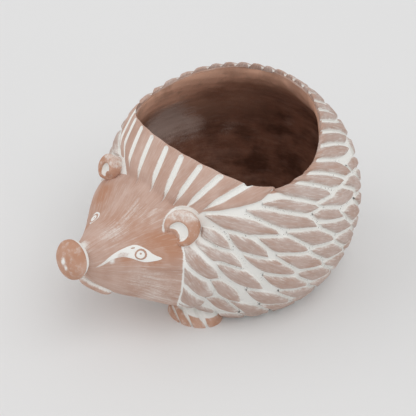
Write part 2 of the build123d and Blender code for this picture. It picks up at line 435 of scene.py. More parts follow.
# Borders of the bare face and of the forehead, by angle
face_edge = np.array((
    (-60, 16), (-30, 19), (-12.7, 24.4), (-5.9, 26.4), (-2.3, 26.8), (1.7, 27.2), (5.7, 27.5),
    (9.7, 27.4), (12.5, 26.9), (15.2, 25.4), (21, 23), (60, 23),
))
side_limits = np.radians((
    (0, 44.5), (41.6, 44.5), (48, 48.2), (56, 51), (62, 52.4), (65, 52.6), (69.3, 51.4), (75, 48.5),
))


def past_face(ways):
    """How far outside the bare face a direction lies."""
    side = np.degrees(np.arctan2(np.abs(ways[..., 0]), -ways[..., 1]))
    rise = np.degrees(np.arcsin(np.clip(ways[..., 2], -1, 1)))
    side = side - np.where(ways[..., 0] < 0, 6.0, 0.0)
    off = np.radians(side - np.interp(rise, face_edge[:, 0], face_edge[:, 1]))
    return off * np.cos(np.radians(rise)) * QUILL_R


def past_forehead(ways):
    """How far outside the forehead a direction lies."""
    angle = np.arccos(np.clip(-ways[..., 1], -1, 1))
    turn = np.abs(np.arctan2(ways[..., 0], ways[..., 2]))
    off = turn - np.interp(angle, side_limits[:, 0], side_limits[:, 1])
    return off * np.sin(angle) * QUILL_R + np.where(angle > math.radians(79), 99, 0)


def hold_at_mouth(points, reach):
    """Points over the opening move out to its edge."""
    spin = np.arctan2(points[:, 1], points[:, 0])
    limit = mouth_at(spin) + 0.3
    inside = (np.hypot(points[:, 0], points[:, 1]) < limit) & (points[:, 2] > CENTRE[2])
    up = CENTRE[2] + np.sqrt(np.clip(reach**2 - limit**2, 0, None))
    held = np.stack([limit * np.cos(spin), limit * np.sin(spin), up], -1)
    return np.where(inside[:, None], held, points)


class Quill:
    """One quill: a line on the pot from front to rear with its own width."""

    def __init__(self, front, rear, half, open_front=False):
        ends = []
        for angle, turn in (front, rear):
            a, f = math.radians(angle), math.radians(turn)
            ends.append(pole * math.cos(a) + (over * math.cos(f) + east * math.sin(f)) * math.sin(a))
        self.outward = unit(ends[0] + ends[1])
        self.along = unit(ends[1] - ends[0])
        self.across = np.cross(self.outward, self.along)
        self.reach = QUILL_R * np.linalg.norm(ends[1] - ends[0]) / 2
        self.half = half * rng.uniform(0.95, 1.05)
        self.open_front = open_front
        self.swerve = rng.normal() * 0.4
        self.tone = rng.uniform(0, 40)
        self.rub = rng.uniform(0.0, 0.3)

    def width(self, t):
        t = np.clip(t, -1, 1)
        front = 1 - (0.35 if self.open_front else 1.0) * np.abs(t) ** 2.0
        return self.half * np.where(t < 0, front, 1 - np.abs(t) ** 2.2)

    def ways(self, t, y):
        x = t * self.reach
        y = y + self.swerve * (1 - t * t)
        level = np.sqrt(np.clip(1 - (x**2 + y**2) / QUILL_R**2, 0, 1))
        flat = (x[..., None] * self.along + y[..., None] * self.across) / QUILL_R
        return unit(level[..., None] * self.outward + flat)

    def gap(self, ways):
        """How far outside the quill's own line a direction lies."""
        x, y = QUILL_R * (ways @ self.along), QUILL_R * (ways @ self.across)
        t = np.clip(x / self.reach, -1, 1)
        past = np.maximum(np.abs(x) - self.reach, 0)
        return np.abs(y - self.swerve * (1 - t * t)) - self.width(t) + 1.6 * past


# Quills that leave the lattice, by row and turn: front angle and turn, rear angle and turn
special = {
    (0, 102): ((29, 100.5), (45, 103)),
    (1, 84): ((29, 89), (63, 85.5)), (1, 96): ((40, 93.5), (63, 98.5)),
    (1, 108): ((31, 110), (55, 109.5)), (1, 120): ((27.5, 117.5), (50, 123)),
    (1, 132): ((33.6, 124.4), (57.7, 135.2)), (1, 144): ((42.2, 136.6), (65.6, 148.4)),
    (2, 66): ((55, 64), (86, 65.2)), (2, 78): ((44.5, 77.2), (80, 79)),
    (2, 114): ((43, 114.8), (69, 115)), (2, 126): ((48.1, 125.6), (67.7, 128.2)),
    (2, 138): ((55.4, 137.4), (77, 136.1)), (3, 144): ((73, 148), (88, 139)),
    (3, 48): ((74, 48), (104.5, 43.5)), (3, 60): ((62, 59), (96, 59)),
    (3, 72): ((74.5, 74), (98.5, 74)), (4, 66): ((76.5, 69.5), (108, 61)),
    (4, 54): ((67, 54.2), (101.5, 54.5)), (4, 42): ((78, 42.5), (110, 36)),
    (5, 36): ((80, 35), (122, 30)), (5, 48): ((98, 52), (125, 47)),
}
extra = {2: (((50.5, 72.1), (77.5, 70.8)),)}
QUILL_GAP = 1.1
QUILL_REACH = 15.0
SPREAD_PAST, SPREAD_SLOPE = 0.7, 0.8
NEIGHBOUR_COSINE, CLOSE_COSINE = 0.62, 0.93
MEASURED_HALF, EXTRA_HALF = 4.3, 3.8


def rim_angle(turn):
    """Angle from the pole at which the line of a turn comes out of the mouth."""
    f = math.radians(turn)
    out = over * math.cos(f) + east * math.sin(f)
    a = np.radians(np.arange(150, 30, -0.25))[:, None]
    points = CENTRE + (pole * np.cos(a) + out * np.sin(a)) * QUILL_R
    inside = np.nonzero((mouth_gap(points) < 0) & (points[:, 2] > CENTRE[2]))[0]
    return math.degrees(a[inside[0], 0]) if len(inside) else 0.0


def make_rows():
    made = []
    for number, (angle, count, first) in enumerate(quill_rows):
        last = 110 if number == 0 else 180
        pitch = 360 / count
        offset = pitch / 2 if number % 2 == 0 else 0
        half = 0.66 * math.pi / count * QUILL_R * math.sin(math.radians(angle))
        usual = min(half, 4.6) if count == 30 else 6.0
        row = []
        for step in range(count):
            turn = (offset + pitch * step + 180) % 360 - 180
            if not first <= abs(turn) <= last + 0.01:
                continue
            s = -1 if turn < 0 else 1
            half = usual
            key = (number, round(abs(turn)))
            rim = rim_angle(turn)
            # Rows behind the mouth lean a little toward the middle line
            lean = 0.12 * turn * (1 - float(ease(36, 60, abs(turn)))) if angle > 90 else 0.0
            front = (angle - QUILL_REACH, turn - lean * (number > 5))
            rear = (angle + QUILL_REACH, turn - lean)
            if key in special:
                front, rear = [(a, t * s) for a, t in special[key]]
            elif rear[0] < rim + 13:
                continue
            elif rim and front[0] - rim < 8 and abs(turn) < 62:
                front = (rim - 3, turn)
            if key in special:
                half = MEASURED_HALF
            row.append(Quill(front, rear, half, bool(rim) and front[0] < rim + 1))
        for front, rear in extra.get(number, ()):
            for s in (1, -1):
                row.append(Quill((front[0], front[1] * s), (rear[0], rear[1] * s), EXTRA_HALF))
        made.append(row)
    return made


rows = make_rows()
all_quills = [quill for row in rows for quill in row]


def spread(quill):
    """Outline of a quill: how far it goes to each side before it meets a neighbour."""
    others = [q for q in all_quills if q is not quill and q.outward @ quill.outward > NEIGHBOUR_COSINE]
    t = np.linspace(-1, 1, 91)
    y = np.linspace(0, 6.5, 66)
    limits = []
    for side in (-1, 1):
        ways = quill.ways(np.repeat(t[:, None], len(y), 1), side * np.repeat(y[None, :], len(t), 0))
        own = quill.gap(ways)
        best = np.min([q.gap(ways) for q in others], 0)
        value = np.maximum(own - best + QUILL_GAP, own - SPREAD_PAST)
        beyond = value > 0
        beyond[:, -1] = True
        i = np.maximum(beyond.argmax(1), 1)
        rows_at = np.arange(len(t))
        low, high = value[rows_at, i - 1], value[rows_at, i]
        share = np.clip(-low / np.where(high == low, 1, high - low), 0, 1)
        limit = np.where(beyond[:, 0], 0, y[i - 1] + (y[i] - y[i - 1]) * share)
        steps = np.abs(np.subtract.outer(rows_at, rows_at)) * 2 * quill.reach / (len(t) - 1)
        limit = (limit[None, :] + SPREAD_SLOPE * steps).min(1)
        padded = np.pad(limit, 3, mode="edge")
        limits.append(np.convolve(padded, np.array((1, 2, 3, 4, 3, 2, 1)) / 16, "valid"))
    wide = limits[0] + limits[1] > 0.12
    middle = int(np.argmax(limits[0] + limits[1]))
    first = middle - int(np.argmin(np.append(wide[middle::-1], False))) + 1
    last = middle + int(np.argmin(np.append(wide[middle:], False))) - 1
    return t, limits[0], limits[1], t[first], t[last]


# Pot wall: outside up to the rim, over its edge, down inside and under the foot
def build_wall():
    around, up_count, down_count = 440, 140, 76
    turn = np.linspace(-math.pi, math.pi, around, endpoint=False)
    reach = mouth_at(turn)
    foot = -math.asin(CENTRE[2] / WALL_R)
    rings, slips, rubs_and_light = [], [], []
    rim_outer = np.arccos((reach + 0.5) / WALL_R)
    for t in np.linspace(0, 1, up_count) ** 0.9:
        rise = foot + (rim_outer - foot) * t
        gap = (rim_outer - rise) * WALL_R
        size = WALL_R + 0.3 * (1 - ease(0.6, 3.0, gap)) * dome((gap + 0.2) / 1.0)
        rings.append(np.stack([np.cos(rise) * size, np.sin(rise) * size + CENTRE[2]], -1))
        slips.append(ease(0.7, 1.6, gap))
        rubs_and_light.append(0.5 * (1 - ease(1.0, 3.0, gap)))
    rim_top = CENTRE[2] + np.sqrt(WALL_R**2 - (reach + 0.5) ** 2)
    rings.append(np.stack([reach + 0.1, rim_top + 0.1], -1))
    rings.append(np.stack([reach, rim_top - 0.45], -1))
    slips += [0 * reach] * 2
    rubs_and_light += [0.8 + 0 * reach] * 2
    for t in np.linspace(0, 1, down_count)[1:] ** 1.15:
        z = (rim_top - 0.45) * (1 - t)
        sphere = np.sqrt(np.clip(ROOM_R**2 - (z - CENTRE[2]) ** 2, 0, None))
        size = np.where(z > CENTRE[2], soft_max(reach, sphere, 7.0), sphere)
        size = np.where(z > CENTRE[2], reach + (size - reach) * ease(0, 3.0, rim_top - z), size)
        rings.append(np.stack([size, z], -1))
        slips.append(0 * reach)
        # Inside, the clay is painted lighter near the rim and darker further down: partly the bare rim
        # band, partly painted light falling into the mouth and fading with depth.
        rubs_and_light.append(1.0 - ease(5, 26, rim_top - z))
    rings, slip, rub = np.array(rings), np.array(slips).ravel(), np.array(rubs_and_light).ravel()
    n = len(rings)
    wide, high = rings[..., 0], rings[..., 1]
    verts = np.stack([wide * np.cos(turn), wide * np.sin(turn), high], -1).reshape(-1, 3)
    inside = np.repeat(np.arange(n) > up_count, around)
    ways = unit(verts - CENTRE)
    shift = inside * (0.3 * uneven(verts) + 0.05 * np.sin(verts[:, 2] * 1.3))
    shift[np.abs(verts[:, 2]) < 0.5] = 0
    verts = verts + ways * shift[:, None]
    faces = ring_faces(n, around)
    outer, rest = faces[: up_count + 1].reshape(-1, 4), faces[up_count + 1 :].reshape(-1, 4)
    # Where two quills are equally near, the cut between them runs
    near = np.full((2, len(verts)), 9.0)
    for quill in all_quills:
        close = np.nonzero((ways @ quill.outward > CLOSE_COSINE) & ~inside)[0]
        gap = quill.gap(ways[close])
        first = near[0, close]
        near[1, close] = np.minimum(near[1, close], np.maximum(gap, first))
        near[0, close] = np.minimum(first, gap)
    pit = (1 - ease(0.1, 0.5, near[1] - near[0])) * ease(2.0, 4.0, mouth_gap(verts)) * (near[0] < 2.5)
    slip = slip + inside * paint(verts, (
        ((-61, 4, 58), 17.0, 1.0), ((-56, 24, 48), 9.0, 0.45),
        ((-45, 42, 44), 8.0, 0.35), ((-14, 60, 58), 5.0, 0.35),
        ((20, 58, 40), 7.0, 0.3), ((58, 18, 44), 6.0, 0.4),
    ))
    # Painted light: broad lighter patches of bare clay on the inner band below the rim, where light falls
    # on it.
    rub = rub + inside * paint(verts, (
        ((-54, 12, 76), 22.0, 0.7), ((-40, 42, 72), 18.0, 0.5),
        ((44, 30, 82), 17.0, 0.9), ((54, 4, 80), 15.0, 0.9),
    ))
    angle = np.tile(turn, n)
    flow = np.stack([np.cos(angle) * 2.6, np.sin(angle) * 2.6, verts[:, 2] * 0.16], -1)
    thing = piece("pot_wall_visual", "pot_wall", "whitewashed_clay", verts,
                  np.vstack([outer, rest]), washed, slip=slip, rub=rub, flow=flow, pit=pit)
    thing.data.materials.append(inside_look)
    chosen = np.zeros(len(thing.data.polygons), np.int32)
    chosen[len(outer):] = 1
    thing.data.polygons.foreach_set("material_index", chosen)


def build_floor():
    around = 160
    turn = np.linspace(-math.pi, math.pi, around, endpoint=False)
    edge_top = math.sqrt(ROOM_R**2 - (CENTRE[2] - FLOOR_TOP) ** 2)
    edge_low = math.sqrt(ROOM_R**2 - CENTRE[2] ** 2)
    profile = [(DRAIN_R, 0.6), (DRAIN_R, FLOOR_TOP - 0.8), (DRAIN_R + 0.8, FLOOR_TOP)]
    profile += [(r, FLOOR_TOP) for r in np.linspace(DRAIN_R + 3, edge_top - 1, 40)]
    profile += [(edge_top, FLOOR_TOP), (edge_low, 0.0)]
    profile += [(r, 0.0) for r in np.linspace(edge_low - 2, DRAIN_R + 0.6, 16)]
    profile = np.array(profile)
    verts = np.stack([
        profile[:, :1] * np.cos(turn), profile[:, :1] * np.sin(turn),
        np.repeat(profile[:, 1:], around, 1),
    ], -1).reshape(-1, 3)
    out = np.hypot(verts[:, 0], verts[:, 1])
    top = (verts[:, 2] > FLOOR_TOP - 0.01) & (out < edge_top - 0.5)
    verts[:, 2] += np.where(top, 0.3 * ripple(verts) - 0.3, 0)
    faces = ring_faces(len(profile), around).reshape(-1, 4)[:, ::-1]
    flow = np.stack([verts[:, 0] * 0.05, verts[:, 1] * 0.05, out * 0.15], -1)
    piece("floor_slab_visual", "floor_slab", "inner_clay", verts, faces, inside_look,
          slip=np.zeros(len(verts)), rub=np.zeros(len(verts)), flow=flow)


# Head
def build_head():
    around, out_count = 420, 200
    spin = np.linspace(0, 2 * math.pi, around, endpoint=False)
    scan = np.radians(np.arange(20, 80, 0.5))
    side = np.stack([np.cos(spin), np.zeros(around), np.sin(spin)], -1)
    reaches = np.array([head_reach(off_front(side, np.full(around, s))) for s in scan])
    past = reaches > WALL_R - 0.3
    edge = np.array([scan[np.nonzero(past[:, i])[0].max()] for i in range(around)]) + math.radians(1.0)
    share = np.linspace(0, 1, out_count + 1)[1:] ** 1.05
    ways = np.array([off_front(side, edge * s) for s in share])
    reach = np.array([head_reach(w) for w in ways])
    surface = with_wall(reach)
    surface -= 0.8 * ease(0.97, 1.0, share)[:, None]
    verts = (CENTRE + ways * surface[..., None]).reshape(-1, 3)
    verts = verts + unit(verts - CENTRE) * (0.22 * uneven(verts) + 0.07 * ripple(verts))[:, None]
    tip = CENTRE + FRONT * head_reach(FRONT[None])[0]
    hub = CENTRE + FRONT * (WALL_R - 3)
    faces = [tuple(f) for f in grid_faces(out_count, around, True)[:, ::-1]]
    n = len(verts)
    verts = np.vstack([verts, tip[None], hub[None]])
    last = (out_count - 1) * around
    for j in range(around):
        k = (j + 1) % around
        faces.append((n, j, k))
        faces.append((n + 1, last + k, last + j))
    verts[:, 2] = np.maximum(verts[:, 2], 0.3)
    both = spots_on_skin(
        (20.9, 14.2, 8.0, 0.9), (16.9, 16.8, 7.0, 0.5), (24.1, 15.6, 6.0, 0.6), (10.1, 9.0, 3.2, 0.9),
        (15.0, 7.1, 1.2, 0.8), (16.8, 7.7, 1.2, 0.8), (18.4, 8.3, 1.2, 0.8), (19.8, 8.8, 1.2, 0.6),
    )
    rubbed = both + [(place * (-1, 1, 1), size, amount) for place, size, amount in both]
    rubbed += spots_on_skin(
        (4.0, 18.0, 9.0, 0.4), (-5.0, 14.0, 12.0, 0.35), (12.0, 15.0, 7.0, 0.4),
    )
    hazed = spots_on_skin(
        (0.2, 11.6, 3.6, 0.8), (2.4, 13.9, 7.0, 0.3), (2.5, 16.0, 6.0, 0.25), (7.3, 8.4, 1.6, 0.8),
        (16.8, -1.5, 16.0, 0.3), (20.0, -14.0, 12.0, 0.25),
        (2.0, 21.5, 6.0, 0.3), (11.0, 22.5, 5.0, 0.3),
    )
    outside = past_face(unit(verts - CENTRE))
    slip = np.maximum.reduce([ease(-0.5, 0.3, outside), paint(verts, hazed), ear_line(verts)])
    turn = np.arctan2(verts[:, 2] - 58, verts[:, 0])
    flow = np.stack([np.cos(turn) * 12, np.sin(turn) * 12, verts[:, 1] * 0.07], -1)
    piece("head_visual", "head", "face_clay", verts, faces, face_look,
          slip=slip, rub=0.08 + paint(verts, rubbed), flow=flow)


# Eyes: a pointed white almond with a ring for the pupil
eye_outline = np.array((
    (22.7, -3.4), (17.9, -1.1), (13.0, 2.0), (8.1, 4.1), (4.9, 4.8), (1.7, 4.5), (-3.3, 1.9), (-6.7, -1.1),
    (-10.1, -3.4), (-4.1, -4.5), (0.3, -4.0), (3.3, -2.4), (7.7, -0.3), (13.1, -0.2), (18.0, -2.4),
))
far_outline = np.array((
    (3.9, -0.9), (2.9, 1.5), (1.3, 2.9), (-0.6, 3.3), (-2.5, 2.7), (-3.8, 1.3), (-4.5, -0.6), (-3.1, -2.3),
    (-1.0, -3.1), (1.3, -3.0), (3.0, -2.1),
))


def inside_by(points, corners):
    """How deep points lie inside a closed outline; below zero outside."""
    best = np.full(len(points), 1e9)
    crossing = np.zeros(len(points), int)
    for a, b in zip(corners, np.roll(corners, -1, 0)):
        run, off = b - a, points - a
        t = np.clip(off @ run / (run @ run), 0, 1)
        best = np.minimum(best, np.linalg.norm(off - t[:, None] * run, axis=1))
        level = (a[1] > points[:, 1]) != (b[1] > points[:, 1])
        rise = np.where(level, points[:, 1] - a[1], 0) / (run[1] if run[1] else 1)
        crossing += level & (points[:, 0] < a[0] + rise * run[0])
    return np.where(crossing % 2 == 1, best, -best)


def build_eye(name, side_angle, rise_angle, corners, tilt):
    centre = on_skin(side_angle, rise_angle)
    way = unit(centre - CENTRE)
    one = unit(np.cross(way, (0, 0, 1.0)))
    two = np.cross(one, way)
    around = np.array([way + 0.01 * one, way - 0.01 * one, way + 0.01 * two, way - 0.01 * two])
    around = unit(around)
    spots = CENTRE + around * skin(around)[:, None]
    normal = unit(np.cross(spots[0] - spots[1], spots[2] - spots[3]))
    normal = normal if normal @ way > 0 else -normal
    ahead = NOSE_AT - centre
    ahead = unit(ahead - (ahead @ normal) * normal)
    upward = np.cross(normal, ahead)
    upward = upward if upward[2] > 0 else -upward
    lean = math.radians(tilt)
    level, steep = ahead, upward
    ahead = level * math.cos(lean) - steep * math.sin(lean)
    upward = steep * math.cos(lean) + level * math.sin(lean)
    knots = np.vstack([corners] * 3)
    step = np.arange(len(knots), dtype=float)
    smooth = spline(step, knots)(np.linspace(len(corners), 2 * len(corners), 90, endpoint=False))
    low, high = smooth.min(0) - 1.2, smooth.max(0) + 1.2
    xs = np.arange(low[0], high[0], 0.2)
    ys = np.arange(low[1], high[1], 0.2)
    flat = np.stack(np.meshgrid(xs, ys, indexing="ij"), -1).reshape(-1, 2)
    deep = inside_by(flat, smooth)
    middle = np.hypot(flat[:, 0] / 2.83, flat[:, 1] / 2.55)
    ring = 1 - ease(0.1, 0.22, np.abs(middle - 0.92))
    dot = 1 - ease(0.12, 0.28, np.hypot(flat[:, 0] / 2.75, (flat[:, 1] - 0.4) / 2.45))
    speck = 1 - ease(0.25, 0.5, np.hypot((flat[:, 0] - 3.8) / 2.6, flat[:, 1] - 3.5))
    plain = centre + flat[:, :1] * ahead + flat[:, 1:] * upward
    ways = unit(plain - CENTRE)
    lift = -0.6 + 0.75 * ease(-0.45, 0.1, deep) + 0.35 * ring + 0.25 * (middle < 0.8)
    verts = CENTRE + ways * (skin(ways) + 0.22 * uneven(plain) + 0.07 * ripple(plain) + lift)[:, None]
    faces = grid_faces(len(xs), len(ys))
    faces = faces[(deep[faces] > -0.7).any(1)]
    used, back = np.unique(faces, return_inverse=True)
    faces = back.reshape(-1, 4)
    corner = verts[used][faces[len(faces) // 2]]
    if np.cross(corner[1] - corner[0], corner[3] - corner[0]) @ normal < 0:
        faces = faces[:, ::-1]
    slip = ease(-0.35, 0.25, deep) * (1 - ring) * (1 - 0.8 * dot) * (1 - speck)
    slip = slip * (1 - 0.45 * ease(11, 21, flat[:, 0]))
    rubbed = 1 - ease(1.4, 4.2, np.hypot(flat[:, 0] - 8.5, 1.8 * (flat[:, 1] - 0.9)))
    slip = slip * (1 - 0.45 * rubbed)
    flow = np.stack([flat[:, 0] * 0.3, flat[:, 1] * 0.8, 0 * flat[:, 0]], -1)
    piece(name, None, "face_clay", verts[used], faces, face_look,
          slip=slip[used], rub=(0.4 * ring)[used], flow=flow[used],
          pit=np.maximum(0.6 * dot, speck)[used])


# Quills
def keep_clear(points):
    """1 where a quill may stand at full height, 0 next to an ear, a paw, the face or the forehead."""
    ways = unit(points - CENTRE)
    beside = past_face(ways)
    clear = ease(0.1, 1.3, beside) * (0.25 + 0.75 * ease(0, 9, beside))
    clear = clear * ease(0.1, 1.3, past_forehead(ways))
    for s in (1, -1):
        x, y, deep = ear_place(points, s)
        clear = clear * ease(-0.6, 1.4, np.hypot(x, y) - EAR_R[s] + np.where(deep < -30, 50, 0))
        paw = points - PAW_AT[s]
        flat = np.hypot(paw[:, 0] / 17.5, paw[:, 1] / 12.0)
        clear = clear * ease(0.9, 1.1, np.hypot(flat, paw[:, 2] / 13.0))
    return clear


def build_row(number):
    long_count, wide_count = 45, 19
    grid = grid_faces(long_count, wide_count)
    index = np.arange(long_count * wide_count).reshape(long_count, wide_count)
    under = np.stack([index[:-1, 0], index[1:, 0], index[1:, -1], index[:-1, -1]], -1)
    every = [[], [], [], [], []]
    total = 0
    for quill in rows[number]:
        t, left, right, first, last = spread(quill)
        u = first + (last - first) * (0.5 + 0.5 * np.sin(np.linspace(-1, 1, long_count) * math.pi / 2))
        v = 0.5 + 0.5 * np.sin(np.linspace(-1, 1, wide_count) * math.pi / 2)
        low, high = -np.interp(u, t, left)[:, None], np.interp(u, t, right)[:, None]
        y = low + (high - low) * v
        along = np.repeat(u[:, None], wide_count, 1)
        ways = quill.ways(along, y).reshape(-1, 3)
        side = np.minimum(y - low, high - y).ravel()
        x, y = (along * quill.reach).ravel(), y.ravel()
        base = skin(ways)
        points = CENTRE + ways * base[:, None]
        top = points + ways * (QUILL_H * ease(8, 30, points[:, 1]))[:, None]
        gap = mouth_gap(top) + np.where(points[:, 2] < CENTRE[2], 50, 0) - 0.3
        foot = points[:, 2] - QUILL_FOOT
        clear = keep_clear(points)
        lift = QUILL_H * (0.45 * dome(side / 2.2) + 0.55 * ease(-0.3, 2.0, side))
        lift = lift * (0.5 + 0.5 * dome(gap / 0.7)) * ease(-0.9, -0.2, gap) * dome(foot / 1.2) * clear
        lift = lift * (1 + 0.12 * (1 - ease(1.0, 6.0, gap)))
        lift = 0.96 * lift + 0.05 * ripple(points) * ease(0.5, 2, side)
        sunk = np.minimum.reduce([side, clear, foot, gap + 0.9])
        reach = base + lift - 0.7 * (1 - ease(0, 0.2, sunk))
        keep = (gap > -1.8) & (foot > -1.5) & (clear > 0.001)
        points = hold_at_mouth(CENTRE + ways * reach[:, None], reach)
        spin = np.arctan2(points[:, 1], points[:, 0])
        wide = np.sqrt(np.clip(reach**2 - (QUILL_FOOT - CENTRE[2]) ** 2, 0, None))
        flat = np.stack([wide * np.cos(spin), wide * np.sin(spin), np.full_like(spin, QUILL_FOOT)], -1)
        points = np.where((points[:, 2] < QUILL_FOOT)[:, None], flat, points)
        faces = np.vstack([grid, under])
        corners = points[faces]
        one, two = corners[:, 2] - corners[:, 0], corners[:, 3] - corners[:, 1]
        area = np.linalg.norm(np.cross(one, two), axis=1)
        faces = faces[keep[faces].any(1) & (area > 1e-4)]
        if not len(faces):
            continue
        used, back = np.unique(faces, return_inverse=True)
        every[0].append(points[used])
        every[1].append(back.reshape(-1, 4) + total)
        from_front = x - first * quill.reach
        haze = (0.0 if quill.open_front else 0.42) * (1 - ease(0, 6, from_front))
        haze = haze + 0.2 * (1 - ease(0, 4, last * quill.reach - x))
        inner = np.minimum(side, 6 * clear)
        slip = np.maximum(1 - 0.62 * ease(0.0, 0.85, inner) - 0.38 * ease(0.2, 3.4, inner), haze)
        for s in (1, -1):
            slip = np.maximum(slip, 0.5 * (1 - ease(9, 26, np.linalg.norm(points - EAR_AT[s], axis=1))))
        slip = slip * ease(0.2, 1.4, gap)
        every[2].append(slip[used])
        grain = np.stack([x * 0.1 + quill.tone, y * 0.7, np.full_like(x, quill.tone)], -1)
        every[3].append(grain[used])
        every[4].append((quill.rub + 0.3 * (1 - ease(0.5, 4.0, gap)))[used])
        total += len(used)
    verts, faces, slip, flow, rub = [np.concatenate(e) for e in every]
    name = f"quill_row_{number + 1}"
    piece(f"{name}_visual", name, "quill_clay", verts, faces, washed, slip=slip, rub=rub, flow=flow)


# Forehead: a sheet with grooves cut into it, each from the rim to the hairline
grooves = np.radians((
    (49.0, -0.6, 28.0, 5.2), (49.5, 10.7, 28.2, 19.8), (52.8, 22.1, 31.0, 28.3),
    (56.8, 32.7, 33.0, 35.9), (62.1, 43.1, 40.8, 42.9), (50.3, -14.0, 28.2, -12.5),
    (52.8, -26.0, 31.7, -27.0), (57.5, -36.5, 36.0, -38.5), (62.5, -44.5, 41.5, -45.0),
))
OPEN_GROOVES = (4, 8)
hairline = np.radians(((0, 28), (20, 28), (28, 31), (36, 34.5), (43, 40.5), (51, 42)))


def build_forehead():
    wide_count, long_count = 520, 150
    across = np.linspace(-1, 1, wide_count)
    start = np.interp(np.abs(across) * math.radians(51), hairline[:, 0], hairline[:, 1])
    start = start - math.radians(3.5)

    def direction(angle):
        turn = across * np.interp(angle, side_limits[:, 0], side_limits[:, 1])
        side = np.stack([np.sin(turn), np.zeros_like(turn), np.cos(turn)], -1)
        return off_front(side, angle), turn

    low, high = start.copy(), np.full(wide_count, math.radians(89))
    for _ in range(40):
        middle = (low + high) / 2
        inside = mouth_gap(CENTRE + direction(middle)[0] * (WALL_R + 1.6)) < 0.2
        high = np.where(inside, middle, high)
        low = np.where(inside, low, middle)
    end = high
    share = 1 - (1 - np.linspace(0, 1, long_count - 1)) ** 1.25
    share = np.append(share, 1.0)
    angle = start + (end - start) * share[:, None]
    ways, turn = direction(angle)
    reach = np.array([head_reach(w) for w in ways])
    base = with_wall(reach)
    from_start = (angle - start) * QUILL_R
    to_end = (end - angle) * QUILL_R
    half_turn = np.interp(angle, side_limits[:, 0], side_limits[:, 1])
    edge = (1 - np.abs(across)) * half_turn * np.sin(angle) * QUILL_R
    groove = np.zeros_like(angle)
    mark = np.zeros_like(angle)
    bulge = np.zeros_like(angle)
    for number, (top, top_turn, bottom, bottom_turn) in enumerate(grooves):
        t = np.clip((angle - bottom) / (top - bottom), -0.2, 1.2)
        line = bottom_turn + (top_turn - bottom_turn) * t
        off = np.abs(turn - line) * np.sin(angle) * QUILL_R
        half = 1.4 * ease(-0.02, 0.5, t) * rng.uniform(0.9, 1.15) + 0.01
        stop = -3.0 if number in OPEN_GROOVES else 0.9
        off = np.hypot(off, np.maximum(stop + half * 1.3 - to_end, 0))
        ends = ease(-0.05, 0.08, t)
        groove = np.maximum(groove, (1 - ease(half * 0.35, half * 1.3 + 0.3, off)) * ends)
        fade = ends * (0.55 + 0.45 * ease(0.05, 0.4, t))
        mark = np.maximum(mark, (1 - ease(half * 0.75, half * 1.45 + 0.25, off)) * fade)
        bulge = np.maximum(bulge, (1 - ease(half, half + 4.5, off)) * ease(0.2, 0.8, t))
    lift = QUILL_H * ease(0, 15, from_start) * (1 - 0.78 * np.maximum(groove, 0.4 * bulge))
    lift = lift * (0.55 + 0.45 * dome(to_end / 1.6)) * dome(edge / 3.0)
    skirt = 0.8 * (1 - np.minimum(ease(0, 1.4, from_start), ease(0, 0.4, edge)))
    wobble = 0.22 * uneven(CENTRE + ways * base[..., None]) * (1 - ease(5, 20, from_start))
    reach = base + lift - skirt + wobble
    reach[-1] = WALL_R - 0.6
    reach = reach.ravel()
    verts = hold_at_mouth(CENTRE + ways.reshape(-1, 3) * reach[:, None], reach)
    faces = grid_faces(long_count, wide_count)
    slip = np.maximum(mark, (1 - ease(0.1, 0.9, edge)) * ease(1.0, 2.2, to_end)).ravel()
    slip = np.maximum(slip, ear_line(verts))
    flow = np.stack([turn * 45, from_start * 0.06, 0 * angle], -1).reshape(-1, 3)
    piece("forehead_quills_visual", "forehead_quills", "quill_clay", verts, faces, face_look,
          slip=slip, rub=np.full(len(verts), 0.12), flow=flow)


# Nose
def build_nose():
    shares = np.array(((0, 0.97), (0.15, 1), (0.5, 0.93), (0.8, 0.68), (0.95, 0.33), (1, 0)))
    around = 128
    sized = shares * (NOSE_DEPTH, NOSE_R)
    travel = np.concatenate([[0], np.cumsum(np.hypot(*np.diff(sized, axis=0).T))])
    curve = spline(travel, sized)(np.linspace(0, 1, 64) * travel[-1])
    curve[-1] = NOSE_DEPTH, 0.02
    rear = [(-3.0, 0.02), (-3.0, 3.6), (-3.0, 7.2), (-2.2, 8.6), (-1.2, 9.4), (-0.5, 9.7)]
    curve = np.vstack([rear, curve])
    turn = np.linspace(0, 2 * math.pi, around, endpoint=False)
    axis = toward(0, NOSE_PITCH)
    up = np.cross(axis, east)
    up = up if up[2] > 0 else -up
    base = NOSE_AT
    ring = np.cos(turn)[:, None] * east + np.sin(turn)[:, None] * up
    verts = (base + curve[:, None, :1] * axis + curve[:, None, 1:] * ring).reshape(-1, 3)
    verts += unit(verts - base) * (0.12 * ripple(verts))[:, None]
    faces = grid_faces(len(curve), around, True)
    deep = np.repeat(curve[:, 0], around)
    slip = np.maximum(1 - ease(0.0, 0.8, deep), paint(verts, (
        (base + np.array([-0.3, -6.6, 2.0]), np.array([1.6, 3.0, 2.2]), 1.0),
        (base + np.array([2.4, -6.9, -0.1]), np.array([1.3, 3.0, 1.8]), 0.8),
        (base + np.array([-3.8, -5.5, 3.5]), np.array([1.0, 3.0, 1.2]), 0.35),
        (base + np.array([5.7, -6.0, -1.1]), np.array([1.8, 3.0, 1.0]), 0.4),
        (base + np.array([0.9, -2.7, 8.2]), np.array([2.2, 2.0, 0.9]), 0.3),
    )))
    piece("nose_visual", "nose_button", "bare_clay", verts, faces, bare_look,
          slip=slip, rub=np.full(len(verts), 0.6), flow=verts * 0.15)


